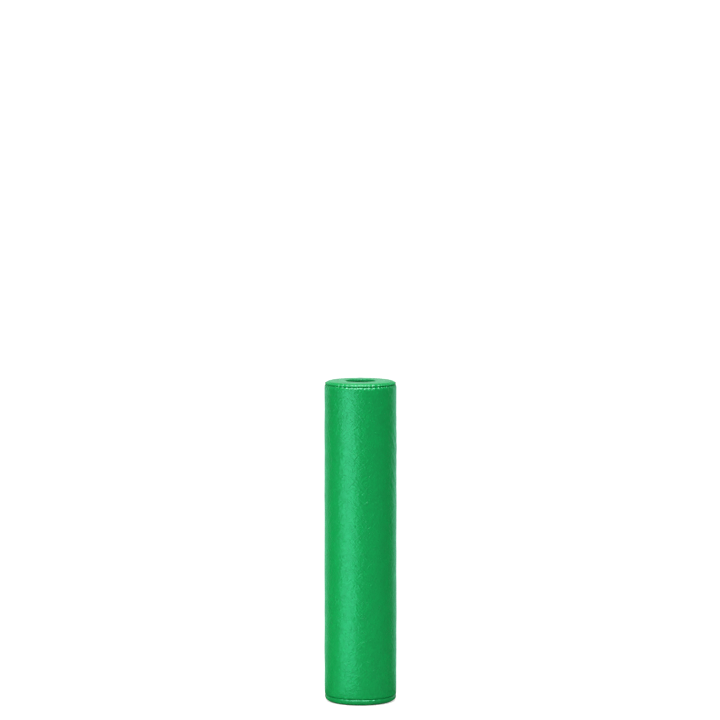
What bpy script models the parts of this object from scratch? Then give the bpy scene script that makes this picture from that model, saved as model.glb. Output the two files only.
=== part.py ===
# Goal post pad: a slit foam ring in a sewn vinyl cover, closed at the back by a hook-and-loop flap.
# The pad stands on z = 0 with its bore on the Z axis. Its front faces -Y and its closure +Y.
# The ring flexes open at the front, so it is modelled as two halves that meet at a fold there.

import math

import bmesh
import bpy
from mathutils import Matrix, Vector

# Driving sizes, in metres
POST_DIAMETER = 0.1683      # the pipe that the pad closes round
POST_CLEARANCE = 0.0019     # between the pipe and the bore liner
FOAM_DIAMETER = 0.4064
FOAM_HEIGHT = 1.8288
VINYL = 0.0008              # coated fabric of the cover
SEAT_GAP = 0.0003           # between pieces that touch
FOLD_GAP = 0.0003           # between the two halves

# Rounded edges of the foam, which the cover follows
SHOULDER = 0.028            # outer edges, top and bottom
RIM = 0.003                 # edges of the bore

# Sewn seams between the side panel and the end caps
SEAM_ROLL = 0.0019          # inner radius with which a panel turns into the seam
SEAM_TAB = 0.004            # straight part of the turned-in edge
TOP_SEAM_ANGLE = math.radians(30)   # how far round the shoulder the top seam lies
BOTTOM_WALL = 0.003         # wall between the bottom rounding and the bottom seam
LIP = 0.012                 # how far a cap reaches into the bore

# Closure at the back
LAND_DEPTH = 0.008          # how far the back is pressed flat
STRIP_WIDTH = 0.050         # hook and loop tape
STRIP_SETBACK = 0.0025      # from the slit to the tape
HOOK_THICKNESS = 0.0015
LOOP_THICKNESS = 0.0015
FLAP_THICKNESS = 0.0016     # two layers of vinyl
FLAP_OVERHANG = 0.0035      # of the flap past the tape
FLAP_REACH = 0.030          # from the slit to the line on which the flap peels
HEM_WIDTH = 0.022           # of the flap's sewn edge
STEP_SETBACK = 0.002        # from the slit to where the flap has come down
STEP_WIDTH = 0.012          # over which the flap comes down from the tape
STRIP_MARGIN = 0.008        # from the seams to the ends of the tape
FLAP_MARGIN = 0.004         # from the seams to the ends of the flap

# Brass vent eyelets
EYELET_BORE = 0.0045
EYELET_WALL = 0.0006
FLANGE_WIDTH = 0.0052
FLANGE_THICKNESS = 0.0010
CURL_WIDTH = 0.0018
CURL_THICKNESS = 0.0008
WASHER_WIDTH = 0.0042
WASHER_THICKNESS = 0.0008
POCKET_DEPTH = 0.002        # of free foam behind the eyelet
VENT_INSET = 0.150          # from the ends of the foam to the eyelets
VENT_FACET = 4              # flat of the ring that carries them, counted from the slit

# Facets
RING_STEPS = 48
SHOULDER_STEPS = 6          # in a quarter turn
RIM_STEPS = 3
ROLL_STEPS = 3
EYELET_STEPS = 16

# Sizes that follow
SKIN = VINYL + SEAT_GAP
HALF_FOLD = FOLD_GAP / 2
BORE_RADIUS = POST_DIAMETER / 2 + POST_CLEARANCE
FOAM_RADIUS = FOAM_DIAMETER / 2
OUTER_RADIUS = FOAM_RADIUS + SKIN
HEIGHT = FOAM_HEIGHT + 2 * SKIN
QUARTER = math.pi / 2
SHOULDER_CENTRE = (FOAM_RADIUS - SHOULDER, HEIGHT - SKIN - SHOULDER)
RIM_CENTRE = (BORE_RADIUS + SKIN + RIM, HEIGHT - SKIN - RIM)
ROLL_OUTER = SEAM_ROLL + SKIN
LAND_Y = OUTER_RADIUS - LAND_DEPTH
PRESSED_FROM = SHOULDER_CENTRE[0] - SEAT_GAP     # radius from which the back is pressed
CUTTER_SIZE = 2 * (FOAM_DIAMETER + FOAM_HEIGHT)

LEFT, RIGHT = -1, 1
SIDE_NAMES = {LEFT: "left", RIGHT: "right"}


def polar(centre, radius, angle):
    return (centre[0] + radius * math.cos(angle), centre[1] + radius * math.sin(angle))


def arc(centre, radius, start, end, steps):
    return [polar(centre, radius, start + (end - start) * i / steps) for i in range(steps + 1)]


def flipped(points):
    """The same outline at the other end of the pad."""
    return [(r, HEIGHT - z) for r, z in points]


# A seam says which way it faces, and where the panels above and below it start to roll in.

def top_seam():
    lean = math.asin((ROLL_OUTER + SEAT_GAP / 2) / (SHOULDER + SKIN - ROLL_OUTER))
    reach = SHOULDER + SKIN - ROLL_OUTER
    above = TOP_SEAM_ANGLE + lean
    below = TOP_SEAM_ANGLE - lean
    return {
        "facing": TOP_SEAM_ANGLE,
        "above": (polar(SHOULDER_CENTRE, reach, above), above),
        "below": (polar(SHOULDER_CENTRE, reach, below), below),
    }


def bottom_seam():
    middle = SKIN + SHOULDER + BOTTOM_WALL + ROLL_OUTER + SEAT_GAP / 2
    radius = OUTER_RADIUS - ROLL_OUTER
    offset = ROLL_OUTER + SEAT_GAP / 2
    return {
        "facing": 0.0,
        "above": ((radius, middle + offset), 0.0),
        "below": ((radius, middle - offset), 0.0),
    }


def rolled_edge(seam, place, depth, tab):
    """A panel's edge from where it leaves the skin to the end of its turned-in tab."""
    centre, start = seam[place]
    quarter = -QUARTER if place == "above" else QUARTER
    points = arc(centre, ROLL_OUTER - depth, start, seam["facing"] + quarter, ROLL_STEPS)
    return points + [polar(points[-1], -tab, seam["facing"])]


# Each path follows one panel of the cover at a depth below its outer face, in radius and height.

def shoulder_arc(depth, start, end):
    steps = max(1, round(SHOULDER_STEPS * abs(end - start) / QUARTER))
    return arc(SHOULDER_CENTRE, SHOULDER + SKIN - depth, start, end, steps)


def rim_path(depth):
    lip = (BORE_RADIUS + depth, RIM_CENTRE[1] - LIP)
    return [lip] + arc(RIM_CENTRE, RIM + SKIN - depth, 2 * QUARTER, QUARTER, RIM_STEPS)


def top_cap_path(depth, tab=SEAM_TAB):
    seam = top_seam()
    shoulder = shoulder_arc(depth, QUARTER, seam["above"][1])
    return rim_path(depth) + shoulder[:-1] + rolled_edge(seam, "above", depth, tab)


def bottom_cap_path(depth, tab=SEAM_TAB):
    shoulder = flipped(shoulder_arc(depth, QUARTER, 0.0))
    return flipped(rim_path(depth)) + shoulder + rolled_edge(bottom_seam(), "below", depth, tab)


def side_path(depth, tab=SEAM_TAB):
    seam = top_seam()
    low_edge = rolled_edge(bottom_seam(), "above", depth, tab)
    shoulder = shoulder_arc(depth, 0.0, seam["below"][1])
    return low_edge[::-1] + shoulder[:-1] + rolled_edge(seam, "below", depth, tab)


def sheet_profile(path):
    """The closed section of a panel: its outer face one way and its inner face back."""
    return path(0.0) + path(VINYL)[::-1]


def foam_profile():
    """The foam's section, with a groove for the turned-in edges of each seam."""
    tab = SEAM_TAB + SEAT_GAP
    top = top_cap_path(SKIN, tab)[1:]
    side = side_path(SKIN, tab)[::-1]
    bottom = bottom_cap_path(SKIN, tab)[:0:-1]
    return top + side + bottom


def liner_profile():
    low, high = flipped(rim_path(0.0))[0][1] + SEAT_GAP, rim_path(0.0)[0][1] - SEAT_GAP
    inner, outer = BORE_RADIUS, BORE_RADIUS + VINYL
    return [(inner, high), (outer, high), (outer, low), (inner, low)]


# Scene helpers

def linear(channel):
    return channel / 12.92 if channel <= 0.04045 else ((channel + 0.055) / 1.055) ** 2.4


def make_material(name, color, roughness, metallic=0.0):
    """A Principled material from a display colour with channels of 0 to 255."""
    material = bpy.data.materials.new(name)
    material.use_nodes = True
    shader = material.node_tree.nodes["Principled BSDF"]
    shader.inputs["Base Color"].default_value = [linear(c / 255) for c in color] + [1.0]
    shader.inputs["Roughness"].default_value = roughness
    shader.inputs["Metallic"].default_value = metallic
    return material


def new_object(name, mesh, collection, material=None):
    obj = bpy.data.objects.new(name, mesh)
    collection.objects.link(obj)
    if material:
        mesh.materials.append(material)
    return obj


def carry(obj, carrier):
    """Parent to an empty on a joint's axis, without moving the object."""
    obj.parent = carrier
    obj.matrix_parent_inverse = Matrix.Translation(-carrier_place(carrier))


def carrier_place(carrier):
    place = carrier.location.copy()
    if carrier.parent:
        place += carrier.matrix_parent_inverse.translation + carrier_place(carrier.parent)
    return place


def smooth(mesh):
    mesh.shade_smooth()
    mesh.set_sharp_from_angle(angle=math.radians(30))


def turned_mesh(name, profile, steps):
    """A closed profile in the XZ plane turned about Z with a Screw modifier."""
    mesh = bpy.data.meshes.new(name)
    form = bmesh.new()
    corners = [form.verts.new((r, 0.0, z)) for r, z in profile]
    for first, second in zip(corners, corners[1:] + corners[:1]):
        form.edges.new((first, second))
    form.to_mesh(mesh)
    form.free()
    guide = bpy.data.objects.new(name + "_profile", mesh)
    bpy.context.scene.collection.objects.link(guide)
    screw = guide.modifiers.new("Turn", "SCREW")
    screw.axis = "Z"
    screw.steps = screw.render_steps = steps
    screw.use_merge_vertices = True
    screw.merge_threshold = 0.00001
    screw.use_smooth_shade = False
    depsgraph = bpy.context.evaluated_depsgraph_get()
    turned = bpy.data.meshes.new_from_object(guide.evaluated_get(depsgraph))
    bpy.data.objects.remove(guide)
    form = bmesh.new()
    form.from_mesh(turned)
    bmesh.ops.recalc_face_normals(form, faces=form.faces)
    form.to_mesh(turned)
    form.free()
    turned.name = name
    return turned


def press_back(mesh):
    """Flatten the outer wall across the back, each layer by the same depth."""
    for vertex in mesh.vertices:
        radius = math.hypot(vertex.co.x, vertex.co.y)
        if radius > PRESSED_FROM:
            vertex.co.y = min(vertex.co.y, radius - LAND_DEPTH)


def make_cutter(name, low, high):
    bpy.ops.mesh.primitive_cube_add(size=1.0)
    cutter = bpy.context.object
    cutter.name = name
    cutter.scale = [b - a for a, b in zip(low, high)]
    cutter.location = [(a + b) / 2 for a, b in zip(low, high)]
    return as_cutter(cutter)


def make_drill(name, place, facing, radius, depth):
    """A round cutter that reaches a depth to each side of a point on the surface."""
    bpy.ops.mesh.primitive_cylinder_add(vertices=EYELET_STEPS, radius=radius, depth=2 * depth)
    cutter = bpy.context.object
    cutter.name = name
    cutter.location = place
    cutter.rotation_euler = facing.to_track_quat("Z", "Y").to_euler()
    return as_cutter(cutter)


def as_cutter(cutter):
    for home in list(cutter.users_collection):
        home.objects.unlink(cutter)
    cutters.objects.link(cutter)
    cutter.hide_render = True
    cutter.display_type = "WIRE"
    return cutter


def cut(obj, cutter, operation="DIFFERENCE"):
    boolean = obj.modifiers.new(cutter.name, "BOOLEAN")
    boolean.operation = operation
    boolean.solver = "EXACT"
    boolean.object = cutter


def side_box(name, side, inner, outer, low_y, high_y):
    """A full-height cutter between two distances from the fold plane, on one side of it."""
    reach = sorted((side * inner, side * outer))
    return make_cutter(name, (reach[0], low_y, -CUTTER_SIZE), (reach[1], high_y, CUTTER_SIZE))


# Pieces of each half

def ring_half(name, profile, side, material):
    """Half of a turned ring with its back pressed flat."""
    mesh = turned_mesh(name, profile, RING_STEPS)
    press_back(mesh)
    smooth(mesh)
    obj = new_object(name, mesh, parts, material)
    cut(obj, half_boxes[side], "INTERSECT")
    return obj


def foam_half(side):
    """Foam core, cut back along the slit for its facing panel."""
    core = ring_half("foam_core_" + SIDE_NAMES[side], foam_profile(), side, foam)
    recess = side_box("slit_recess_" + SIDE_NAMES[side], side, -CUTTER_SIZE, HALF_FOLD + SKIN,
                      0.0, CUTTER_SIZE)
    cut(core, recess)
    return core


def slit_panel(side):
    """Vinyl facing of the slit, with the outline of the foam behind it."""
    name = "slit_panel_" + SIDE_NAMES[side]
    mesh = turned_mesh(name, foam_profile(), RING_STEPS)
    press_back(mesh)
    panel = new_object(name, mesh, parts, vinyl)
    outline = side_box("slit_outline_" + SIDE_NAMES[side], side, HALF_FOLD, HALF_FOLD + VINYL,
                       0.0, CUTTER_SIZE)
    cut(panel, outline, "INTERSECT")
    return panel


def cover_half(side):
    return ring_half("cover_" + SIDE_NAMES[side], sheet_profile(side_path), side, vinyl)


def end_caps(side):
    top = ring_half("top_cap_" + SIDE_NAMES[side], sheet_profile(top_cap_path), side, vinyl)
    bottom = ring_half("bottom_cap_" + SIDE_NAMES[side], sheet_profile(bottom_cap_path), side, vinyl)
    return [top, bottom]


def bore_liner(side):
    return ring_half("bore_liner_" + SIDE_NAMES[side], liner_profile(), side, lining)


# Vent eyelets, each on a flat of the ring's facets

BARREL_RADIUS = EYELET_BORE + EYELET_WALL
FLANGE_RADIUS = BARREL_RADIUS + FLANGE_WIDTH
CURL_RADIUS = BARREL_RADIUS + CURL_WIDTH
WASHER_BORE = BARREL_RADIUS + SEAT_GAP
WASHER_RADIUS = WASHER_BORE + WASHER_WIDTH
WASHER_TOP = -VINYL - SEAT_GAP
CURL_TOP = WASHER_TOP - WASHER_THICKNESS - SEAT_GAP
CURL_END = CURL_TOP - CURL_THICKNESS


def eyelet_profile():
    """Section of an eyelet, in radius and in height above the cover."""
    half = FLANGE_THICKNESS / 2
    edge = arc((FLANGE_RADIUS - half, SEAT_GAP + half), half, QUARTER, -QUARTER, 3)
    throat = arc((EYELET_BORE + half, SEAT_GAP + half), half, 2 * QUARTER, QUARTER, 2)
    barrel = [(BARREL_RADIUS, SEAT_GAP), (BARREL_RADIUS, CURL_TOP)]
    curl = [(CURL_RADIUS, CURL_TOP), (CURL_RADIUS, CURL_END), (EYELET_BORE, CURL_END)]
    return throat + edge + barrel + curl


def washer_profile():
    low = WASHER_TOP - WASHER_THICKNESS
    return [
        (WASHER_BORE, WASHER_TOP),
        (WASHER_RADIUS, WASHER_TOP),
        (WASHER_RADIUS, low),
        (WASHER_BORE, low),
    ]


def vent(side, level, height, cover, core):
    """One eyelet with its inner washer, its hole in the cover and its pocket in the foam."""
    name = SIDE_NAMES[side] + "_" + level
    turn = (VENT_FACET + 0.5) * 2 * math.pi / RING_STEPS
    facing = Vector((side * math.sin(turn), math.cos(turn), 0.0))
    place = facing * OUTER_RADIUS * math.cos(math.pi / RING_STEPS) + Vector((0.0, 0.0, height))
    hole = make_drill("vent_hole_" + name, place, facing, WASHER_BORE, SKIN + SEAT_GAP)
    cut(cover, hole)
    pocket_depth = POCKET_DEPTH - CURL_END
    pocket = make_drill("vent_pocket_" + name, place, facing, WASHER_RADIUS + SEAT_GAP, pocket_depth)
    cut(core, pocket)
    pieces = []
    for kind, profile in (("vent_eyelet_", eyelet_profile()), ("vent_washer_", washer_profile())):
        mesh = turned_mesh(kind + name, profile, EYELET_STEPS)
        smooth(mesh)
        piece = new_object(kind + name, mesh, parts, brass)
        piece.location = place
        piece.rotation_euler = facing.to_track_quat("Z", "Y").to_euler()
        pieces.append(piece)
    return pieces


# Closure

WALL_LOW = bottom_seam()["above"][0][1]
WALL_HIGH = SHOULDER_CENTRE[1]
HOOK_Y = LAND_Y + SEAT_GAP
LOOP_Y = HOOK_Y + HOOK_THICKNESS + SEAT_GAP
FLAP_Y = LOOP_Y + LOOP_THICKNESS + SEAT_GAP
HINGE_Y = HOOK_Y + FLAP_THICKNESS


def plate(name, low, high, material):
    bpy.ops.mesh.primitive_cube_add(size=1.0)
    obj = bpy.context.object
    obj.name = obj.data.name = name
    obj.location = [(a + b) / 2 for a, b in zip(low, high)]
    size = [b - a for a, b in zip(low, high)]
    obj.data.transform(Matrix.Diagonal((*size, 1.0)))
    for home in list(obj.users_collection):
        home.objects.unlink(obj)
    parts.objects.link(obj)
    obj.data.materials.append(material)
    return obj


def tape(name, y, thickness, material):
    """A strip of hook or loop tape beside the slit, on the left half."""
    inner = -STRIP_SETBACK
    low = (inner - STRIP_WIDTH, y, WALL_LOW + STRIP_MARGIN)
    high = (inner, y + thickness, WALL_HIGH - STRIP_MARGIN)
    return plate(name, low, high, material)


def flap_height(x):
    """Underside of the flap: low on the right half, and above the tape from the slit on."""
    share = min(max((STEP_SETBACK + STEP_WIDTH - x) / STEP_WIDTH, 0.0), 1.0)
    return HOOK_Y + (FLAP_Y - HOOK_Y) * (3 * share ** 2 - 2 * share ** 3)


def flap_panel():
    """The flap, from the line on which it peels to its free edge past the tape."""
    free_edge = -STRIP_SETBACK - STRIP_WIDTH - FLAP_OVERHANG
    steps = 6
    rise = [STEP_SETBACK + STEP_WIDTH * (1 - i / steps) for i in range(steps + 1)]
    stations = [FLAP_REACH - SEAT_GAP / 2] + rise + [free_edge]
    under = [(x, flap_height(x)) for x in stations]
    over = [(x, y + FLAP_THICKNESS) for x, y in under]
    outline = bpy.data.curves.new("flap_panel", "CURVE")
    outline.dimensions = "2D"
    outline.fill_mode = "BOTH"
    spline = outline.splines.new("POLY")
    points = under + over[::-1]
    spline.points.add(len(points) - 1)
    for point, (x, y) in zip(spline.points, points):
        point.co = (x, y, 0.0, 1.0)
    spline.use_cyclic_u = True
    low, high = WALL_LOW + FLAP_MARGIN, WALL_HIGH - FLAP_MARGIN
    outline.extrude = (high - low) / 2
    outline.materials.append(vinyl)
    obj = bpy.data.objects.new("flap_panel", outline)
    obj.location.z = (low + high) / 2
    parts.objects.link(obj)
    return obj


def flap_hem():
    """The flap's edge that is sewn down on the right half."""
    inner = FLAP_REACH + SEAT_GAP / 2
    low = (inner, HOOK_Y, WALL_LOW + FLAP_MARGIN)
    high = (inner + HEM_WIDTH, HINGE_Y, WALL_HIGH - FLAP_MARGIN)
    return plate("flap_hem", low, high, vinyl)


# Build

for old in list(bpy.data.objects):
    bpy.data.objects.remove(old)

parts = bpy.data.collections.new("goal_post_pad")
cutters = bpy.data.collections.new("cutters")
bpy.context.scene.collection.children.link(parts)
bpy.context.scene.collection.children.link(cutters)

vinyl = make_material("green_vinyl", (6, 158, 76), 0.38)
lining = make_material("bore_vinyl", (10, 120, 62), 0.55)
foam = make_material("foam", (214, 208, 190), 0.95)
brass = make_material("brass", (196, 160, 84), 0.32, 1.0)
hook_tape = make_material("hook_tape", (24, 26, 26), 0.7)
loop_tape = make_material("loop_tape", (30, 32, 32), 0.95)

# The right half turns on the fold at the front, and the flap on its sewn edge.
fold_axis = bpy.data.objects.new("fold_axis", None)
fold_axis.location = (0.0, -OUTER_RADIUS, 0.0)
parts.objects.link(fold_axis)
flap_axis = bpy.data.objects.new("flap_axis", None)
flap_axis.location = (FLAP_REACH, HINGE_Y, 0.0)
parts.objects.link(flap_axis)
carry(flap_axis, fold_axis)

half_boxes = {
    side: side_box("half_" + SIDE_NAMES[side], side, HALF_FOLD, CUTTER_SIZE, -CUTTER_SIZE, CUTTER_SIZE)
    for side in (LEFT, RIGHT)
}
vent_heights = {"low": SKIN + VENT_INSET, "high": HEIGHT - SKIN - VENT_INSET}

for side in (LEFT, RIGHT):
    core = foam_half(side)
    cover = cover_half(side)
    pieces = [core, cover, slit_panel(side), bore_liner(side)] + end_caps(side)
    for level, height in vent_heights.items():
        pieces += vent(side, level, height, cover, core)
    if side == RIGHT:
        pieces.append(flap_hem())
        for piece in pieces:
            carry(piece, fold_axis)

tape("hook_strip", HOOK_Y, HOOK_THICKNESS, hook_tape)
for piece in (flap_panel(), tape("loop_strip", LOOP_Y, LOOP_THICKNESS, loop_tape)):
    carry(piece, flap_axis)
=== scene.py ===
# Goal post pad: a slit foam ring in a sewn green vinyl cover, closed at the back by a hook and loop flap.
# The pad stands on z = 0 round the Z axis, with its front towards -Y and its closure towards +Y.

from math import asin, atan2, copysign, cos, degrees, exp, hypot, pi, radians, sin, sqrt

import bmesh
import bpy
from mathutils import Matrix, Vector, noise
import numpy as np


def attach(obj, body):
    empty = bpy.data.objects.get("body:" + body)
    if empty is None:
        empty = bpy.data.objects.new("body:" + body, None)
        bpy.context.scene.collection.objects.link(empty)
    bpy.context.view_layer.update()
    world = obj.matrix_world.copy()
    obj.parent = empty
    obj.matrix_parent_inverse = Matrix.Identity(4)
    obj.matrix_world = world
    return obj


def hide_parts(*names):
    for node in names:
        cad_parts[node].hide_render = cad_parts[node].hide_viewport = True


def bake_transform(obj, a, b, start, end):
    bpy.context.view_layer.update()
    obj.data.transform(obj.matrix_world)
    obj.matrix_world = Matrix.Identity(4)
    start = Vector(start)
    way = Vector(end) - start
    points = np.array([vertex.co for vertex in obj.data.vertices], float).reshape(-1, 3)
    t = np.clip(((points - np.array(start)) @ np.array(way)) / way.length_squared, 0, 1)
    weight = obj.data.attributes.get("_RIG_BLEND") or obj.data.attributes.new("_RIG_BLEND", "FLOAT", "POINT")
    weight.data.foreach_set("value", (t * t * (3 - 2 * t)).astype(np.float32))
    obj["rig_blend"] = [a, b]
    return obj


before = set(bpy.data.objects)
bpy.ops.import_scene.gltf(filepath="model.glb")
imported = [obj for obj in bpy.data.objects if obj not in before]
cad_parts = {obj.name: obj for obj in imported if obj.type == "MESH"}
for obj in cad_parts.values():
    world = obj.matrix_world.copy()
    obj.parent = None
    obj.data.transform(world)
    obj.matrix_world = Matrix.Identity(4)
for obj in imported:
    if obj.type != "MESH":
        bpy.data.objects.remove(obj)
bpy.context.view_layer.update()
scene = bpy.context.scene
print("pad: frame loaded,", len(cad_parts), "solids")

# The camera stands 22.7 m off and looks a little down, with a long lens, as in the photograph.
photo = {
    "eye": (-0.0029, -22.517, 4.1158),
    "tilt": radians(84.5),
    "lens": 200.0,
}

cameraData = bpy.data.cameras.new("camera")
cameraData.lens = photo["lens"]
cameraData.sensor_width = 36.0
cameraData.clip_start, cameraData.clip_end = 0.1, 5000.0
cameraObject = bpy.data.objects.new("camera", cameraData)
cameraObject.location = photo["eye"]
cameraObject.rotation_euler = (photo["tilt"], 0.0, 0.0)
scene.collection.objects.link(cameraObject)
scene.camera = cameraObject

# A broad softbox to the left of the camera, one overhead, two small ones low and high on the left and a weak fill
# from the right, in front of a white sweep. Glossy surfaces see the sweep behind the pad, the key's glow on the
# floor, a reflector high in front, and a dim studio elsewhere.
studio = {
    "ambient": 0.590,
    "sweepGloss": 0.82,
    "sweepTint": (0.96, 1.0, 1.20, 1.0),
    "dimGloss": 0.025,
    "floorGloss": 1.10,
    "floorTint": (0.40, 1.0, 0.80, 1.0),
    "keyGlow": 1.8,                 # of the floor in front of the key, from some way off the pad
    "keyDistance": (0.35, 0.75),
    "keyAzimuth": (-0.616, -0.788, 0.0),
    "keyReach": (0.87, 0.95),
    "sweepSides": (0.50, 0.78),     # share of the way towards the sweep where it begins and is full
    "sweepTop": (0.55, 0.28),
    "skyGloss": 14.0,
    "skyTint": (1.0, 0.50, 0.58, 1.0),
    "skyReach": (0.55, 0.75),
    "skyLow": (0.60, 0.70),
    "skyHigh": (0.95, 0.90),
    "floorSize": 1500.0,
    "floorGlow": 0.60,
    "floorColor": (0.92, 0.92, 0.92, 1.0),
}
softboxes = {
    "key": {"place": (-1.35, -1.72, 1.00), "aim": (0.0, 0.0, 0.90), "size": (1.60, 2.30), "power": 13.9},
    "overhead": {"place": (0.0, -0.42, 3.15), "aim": (0.0, -0.20, 1.83), "size": (1.15, 0.62), "power": 44.0,
                 "color": (1.0, 0.45, 0.56)},
    "high": {"place": (-1.05, -1.44, 1.98), "aim": (-1.049, -1.44, 0.0), "size": (0.72, 0.72), "power": 12.2,
             "color": (1.0, 0.65, 0.72)},
    "fill": {"place": (1.65, -1.45, 0.80), "aim": (0.0, 0.0, 0.80), "size": (1.2, 1.7), "power": 2.9,
             "mirrored": False},
    "low": {"place": (-0.75, -0.95, 0.15), "aim": (0.0, 0.0, 0.05), "size": (0.9, 0.25), "power": 0.9,
            "mirrored": False},
}


class Tree:
    # The nodes of a material or world. A socket takes a number, a color or another node's socket.
    def __init__(self, owner):
        owner.use_nodes = True
        self.nodes, self.links = owner.node_tree.nodes, owner.node_tree.links

    def feed(self, node, sockets):
        for name, value in sockets.items():
            if isinstance(value, bpy.types.NodeSocket):
                self.links.new(value, node.inputs[name])
            else:
                node.inputs[name].default_value = value
        return node

    def add(self, kind, sockets=None, **settings):
        node = self.nodes.new("ShaderNode" + kind)
        for name, value in settings.items():
            setattr(node, name, value)
        return self.feed(node, sockets or {})

    def paint(self, **values):
        self.feed(self.nodes["Principled BSDF"], {name.replace("_", " "): value for name, value in values.items()})

    def place(self):
        return self.add("TexCoord").outputs["Object"]

    def panel(self):
        return self.add("UVMap", uv_map="panel").outputs["UV"]

    def math(self, operation, first, second):
        return self.add("Math", {0: first, 1: second}, operation=operation).outputs[0]

    def vector(self, operation, *vectors):
        node = self.add("VectorMath", dict(enumerate(vectors)), operation=operation)
        return node.outputs["Value" if operation in ("DOT_PRODUCT", "LENGTH") else "Vector"]

    def range(self, value, fromLow, fromHigh, toLow=0.0, toHigh=1.0, kind="LINEAR"):
        sockets = {"Value": value, "From Min": fromLow, "From Max": fromHigh, "To Min": toLow, "To Max": toHigh}
        return self.add("MapRange", sockets, interpolation_type=kind).outputs["Result"]

    def mix(self, factor, first, second):
        return self.add("Mix", {"Factor": factor, 6: first, 7: second}, data_type="RGBA").outputs[2]

    def noise(self, vector, size, detail=2.0, distortion=0.0):
        sockets = {"Vector": vector, "Scale": 1.0 / size, "Detail": detail, "Distortion": distortion}
        return self.add("TexNoise", sockets).outputs["Fac"]

    def bump(self, height, depth, **under):
        return self.add("Bump", {"Height": height, "Distance": depth, **under}).outputs["Normal"]

    def rayIs(self, *kinds):
        path = self.add("LightPath")
        seen = path.outputs[f"Is {kinds[0]} Ray"]
        for kind in kinds[1:]:
            seen = self.math("MAXIMUM", seen, path.outputs[f"Is {kind} Ray"])
        return seen


def makePiece(name, form, material):
    mesh = bpy.data.meshes.new(name)
    form.to_mesh(mesh)
    form.free()
    mesh.shade_smooth()
    mesh.materials.append(material)
    piece = bpy.data.objects.new(name, mesh)
    scene.collection.objects.link(piece)
    return piece


def sweepLevel(tree, direction, full):
    # how bright a glossy surface sees the sweep in a direction from the pad
    flat = tree.vector("NORMALIZE", tree.vector("MULTIPLY", direction, (1.0, 1.0, 0.0)))
    ahead = tree.add("SeparateXYZ", {0: flat}).outputs["Y"]
    up = tree.add("SeparateXYZ", {0: direction}).outputs["Z"]
    sides = tree.range(ahead, *studio["sweepSides"], kind="SMOOTHSTEP")
    share = tree.math("MULTIPLY", sides, tree.range(up, *studio["sweepTop"]))
    return tree.range(share, 0.0, 1.0, studio["dimGloss"], full), flat, up


def makeWorld():
    world = bpy.data.worlds.new("studio")
    tree = Tree(world)
    direction = tree.add("TexCoord").outputs["Generated"]
    mirrored = tree.rayIs("Glossy")
    level, flat, up = sweepLevel(tree, direction, studio["sweepGloss"])
    sky = tree.range(tree.vector("DOT_PRODUCT", flat, (0.0, -1.0, 0.0)), *studio["skyReach"])
    for edges in (studio["skyLow"], studio["skyHigh"]):
        sky = tree.math("MULTIPLY", sky, tree.range(up, *edges))
    tint = tree.mix(sky, studio["sweepTint"], studio["skyTint"])
    level = tree.math("ADD", level, tree.math("MULTIPLY", sky, studio["skyGloss"]))
    plain = tree.math("MULTIPLY", tree.rayIs("Diffuse"), studio["ambient"])
    direct = tree.math("MAXIMUM", tree.rayIs("Camera", "Transmission"), plain)
    strength = tree.math("MAXIMUM", direct, tree.math("MULTIPLY", mirrored, level))
    color = tree.mix(mirrored, (1.0, 1.0, 1.0, 1.0), tint)
    tree.feed(tree.nodes["Background"], {"Color": color, "Strength": strength})
    scene.world = world


def makeFloor():
    material = bpy.data.materials.new("whiteSweep")
    tree = Tree(material)
    tree.nodes.remove(tree.nodes["Principled BSDF"])
    direction = tree.place()
    level, flat, _ = sweepLevel(tree, direction, studio["floorGloss"])
    towards = tree.vector("DOT_PRODUCT", flat, studio["keyAzimuth"])
    glowing = tree.range(towards, *studio["keyReach"], 0.0, studio["keyGlow"], kind="SMOOTHSTEP")
    distance = tree.range(tree.vector("LENGTH", direction), *studio["keyDistance"])
    level = tree.math("ADD", level, tree.math("MULTIPLY", glowing, distance))
    mirrored = tree.add("Emission", {"Color": studio["floorTint"], "Strength": level})
    seen = tree.math("MULTIPLY", tree.rayIs("Camera", "Transmission"), studio["floorGlow"])
    glow = tree.add("Emission", {"Strength": seen})
    matte = tree.add("BsdfDiffuse", {"Color": studio["floorColor"]})
    both = tree.add("AddShader", {0: matte.outputs[0], 1: glow.outputs[0]})
    chosen = tree.add("MixShader", {0: tree.rayIs("Glossy"), 1: both.outputs[0], 2: mirrored.outputs[0]})
    tree.feed(tree.nodes["Material Output"], {"Surface": chosen.outputs[0]})
    form = bmesh.new()
    bmesh.ops.create_grid(form, x_segments=2, y_segments=2, size=studio["floorSize"])
    makePiece("floor", form, material)


def makeSoftbox(name, look):
    lamp = bpy.data.lights.new(name, "AREA")
    lamp.shape = "RECTANGLE"
    lamp.size, lamp.size_y = look["size"]
    lamp.energy = look["power"]
    lamp.color = look.get("color", (1.0, 1.0, 1.0))
    softbox = bpy.data.objects.new(name, lamp)
    softbox.location = look["place"]
    softbox.rotation_euler = (Vector(look["aim"]) - softbox.location).to_track_quat("-Z", "Y").to_euler()
    softbox.visible_camera = False
    softbox.visible_glossy = look.get("mirrored", True)
    scene.collection.objects.link(softbox)


makeWorld()
makeFloor()
for name, look in softboxes.items():
    makeSoftbox(name, look)
scene.view_settings.view_transform = "Standard"
print("pad: studio and camera made")

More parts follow.
